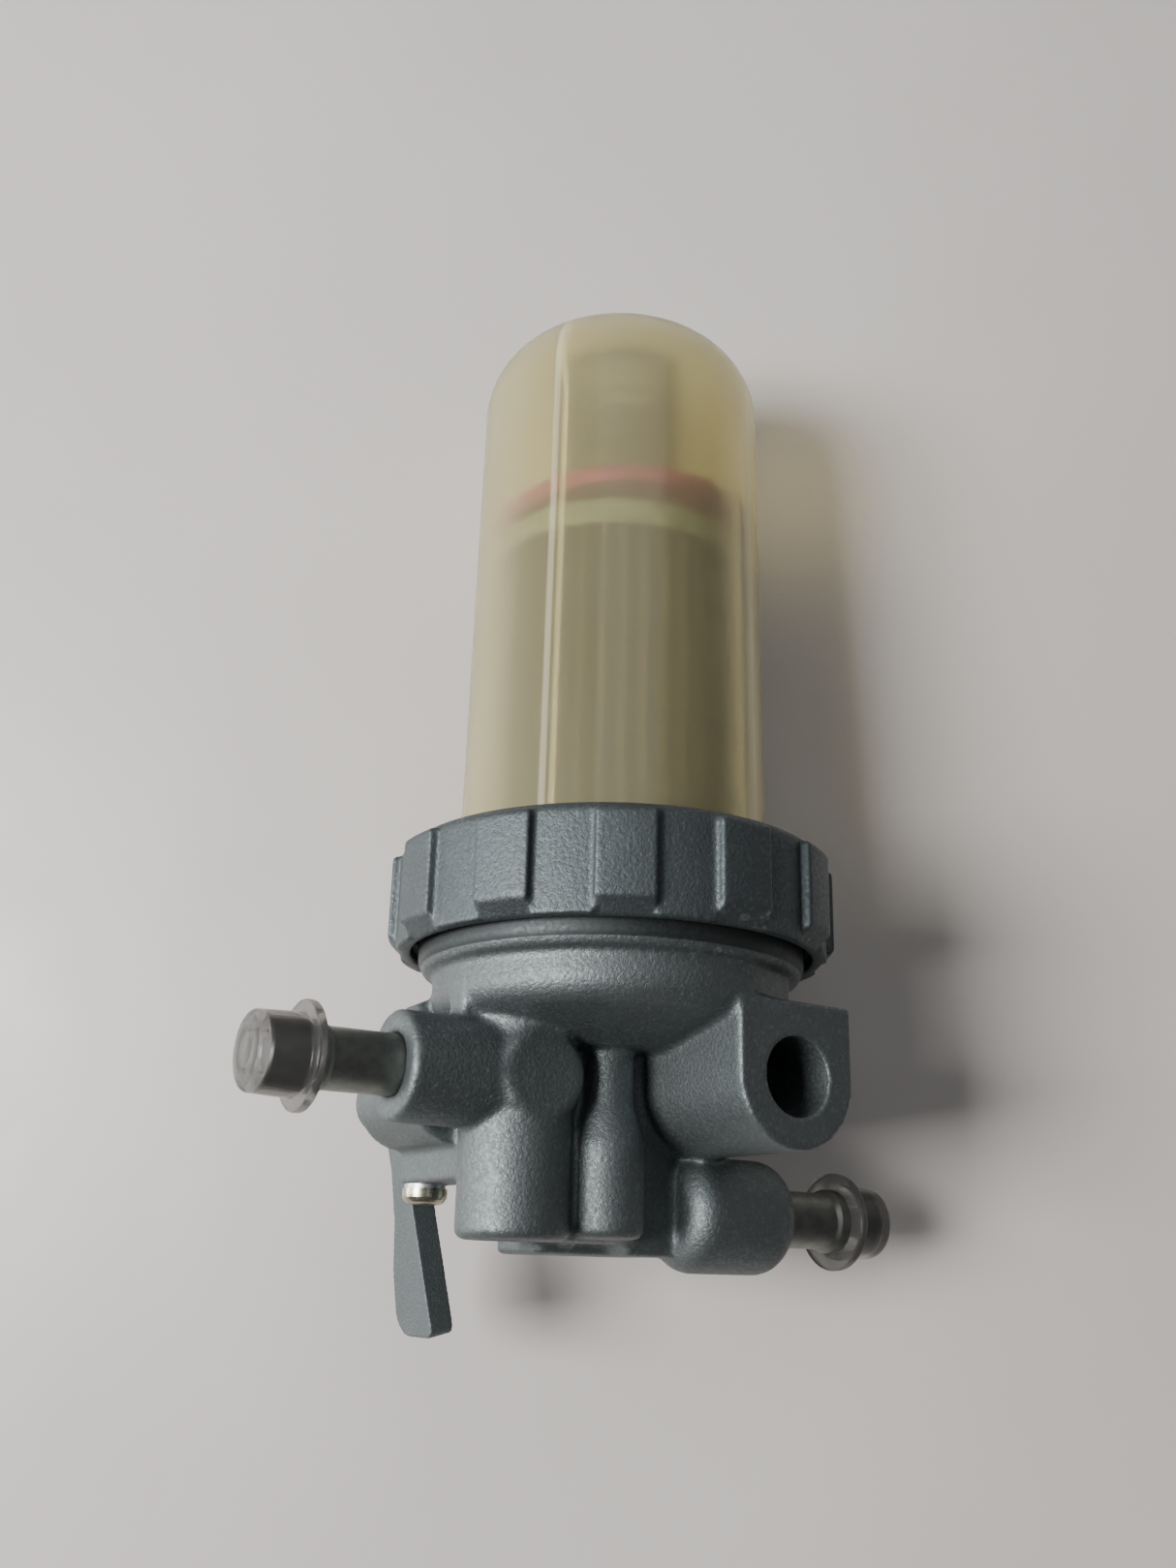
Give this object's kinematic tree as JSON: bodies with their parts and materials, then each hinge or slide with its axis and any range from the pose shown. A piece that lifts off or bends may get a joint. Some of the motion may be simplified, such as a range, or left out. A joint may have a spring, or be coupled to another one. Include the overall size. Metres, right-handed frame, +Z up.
{
  "type": "fuel filter with shut-off cock",
  "caption": "In-line fuel filter for a small diesel engine: a cast head with hose nipples and a shut-off cock carries a milky sediment bowl, paper element and water float.",
  "frame": {"origin": "centre of the mounting bore on the front face of its boss", "axes": "+Z up in use, with the head on top and the bowl hanging; +X along the hose line towards the outlet; +Y along the mounting bore, out of the boss's front face"},
  "size_m": [0.0959, 0.0632, 0.1466],
  "materials": {
    "cast_head": "satin as-cast",
    "cast_lever": "satin as-cast",
    "cast_ring": "satin as-cast",
    "drawn_tube": "drawn",
    "plug_steel": "plated",
    "nipple_steel": "dull zinc plate",
    "rotor_brass": "machined",
    "screw_steel": "yellowish zinc plate",
    "core_steel": "tinned",
    "spring_steel": "oiled",
    "black_rubber": "matte",
    "milky_bowl": "glossy translucent nylon",
    "red_float": "satin",
    "cap_cream": "moulded",
    "filter_paper": "resin-treated pleated paper",
    "clear_cap": "translucent polyethylene"
  },
  "bodies": {
    "root": {"head": "cast_head", "head_collar": "cast_head", "standpipe": "drawn_tube", "passage_plug": "plug_steel", "inlet_nipple": "nipple_steel", "outlet_nipple": "nipple_steel", "retaining_screw": "screw_steel", "screw_lock_washer": "screw_steel"},
    "cock": {"cock_rotor": "rotor_brass", "cock_lever": "cast_lever", "cock_orings": "black_rubber"},
    "element": {"element_media": "filter_paper", "element_core": "core_steel", "element_top_cap": "cap_cream", "element_bottom_cap": "cap_cream", "element_grommet": "black_rubber", "element_spring": "spring_steel"},
    "bowl": {"bowl": "milky_bowl", "bowl_oring": "black_rubber"},
    "ring": {"ring_nut": "cast_ring"},
    "float": {"water_float": "red_float"},
    "inlet_cap": {"inlet_cap": "clear_cap"},
    "outlet_cap": {"outlet_cap": "clear_cap"}
  },
  "joints": [
    {"name": "cock_turn", "type": "hinge", "parent": "root", "child": "cock", "pos_m": [-0.033, -0.0455, 0.002], "axis": [0, -1, 0], "range_deg": [0, 90]},
    {"name": "element_pull", "type": "slide", "parent": "root", "child": "element", "axis": [0, 0, -1], "range_m": [0, 0.03]},
    {"name": "bowl_unscrew", "type": "slide", "parent": "element", "child": "bowl", "axis": [0, 0, -1], "range_m": [0, 0.0065], "deforming": ["element_spring"]},
    {"name": "ring_turn", "type": "hinge", "parent": "bowl", "child": "ring", "pos_m": [-0.0128, -0.024, -0.0236], "axis": [0, 0, -1], "range_deg": [0, 720]},
    {"name": "float_slide", "type": "slide", "parent": "bowl", "child": "float", "axis": [0, 0, -1], "range_m": [0, 0.018]},
    {"name": "inlet_cap_pull", "type": "slide", "parent": "root", "child": "inlet_cap", "axis": [-1, 0, 0], "range_m": [0, 0.015]},
    {"name": "outlet_cap_pull", "type": "slide", "parent": "root", "child": "outlet_cap", "axis": [1, 0, 0], "range_m": [0, 0.015]}
  ],
  "couplings": [
    {"joint": "bowl_unscrew", "follows": "ring_turn", "m_per_rad": 0.000517}
  ]
}
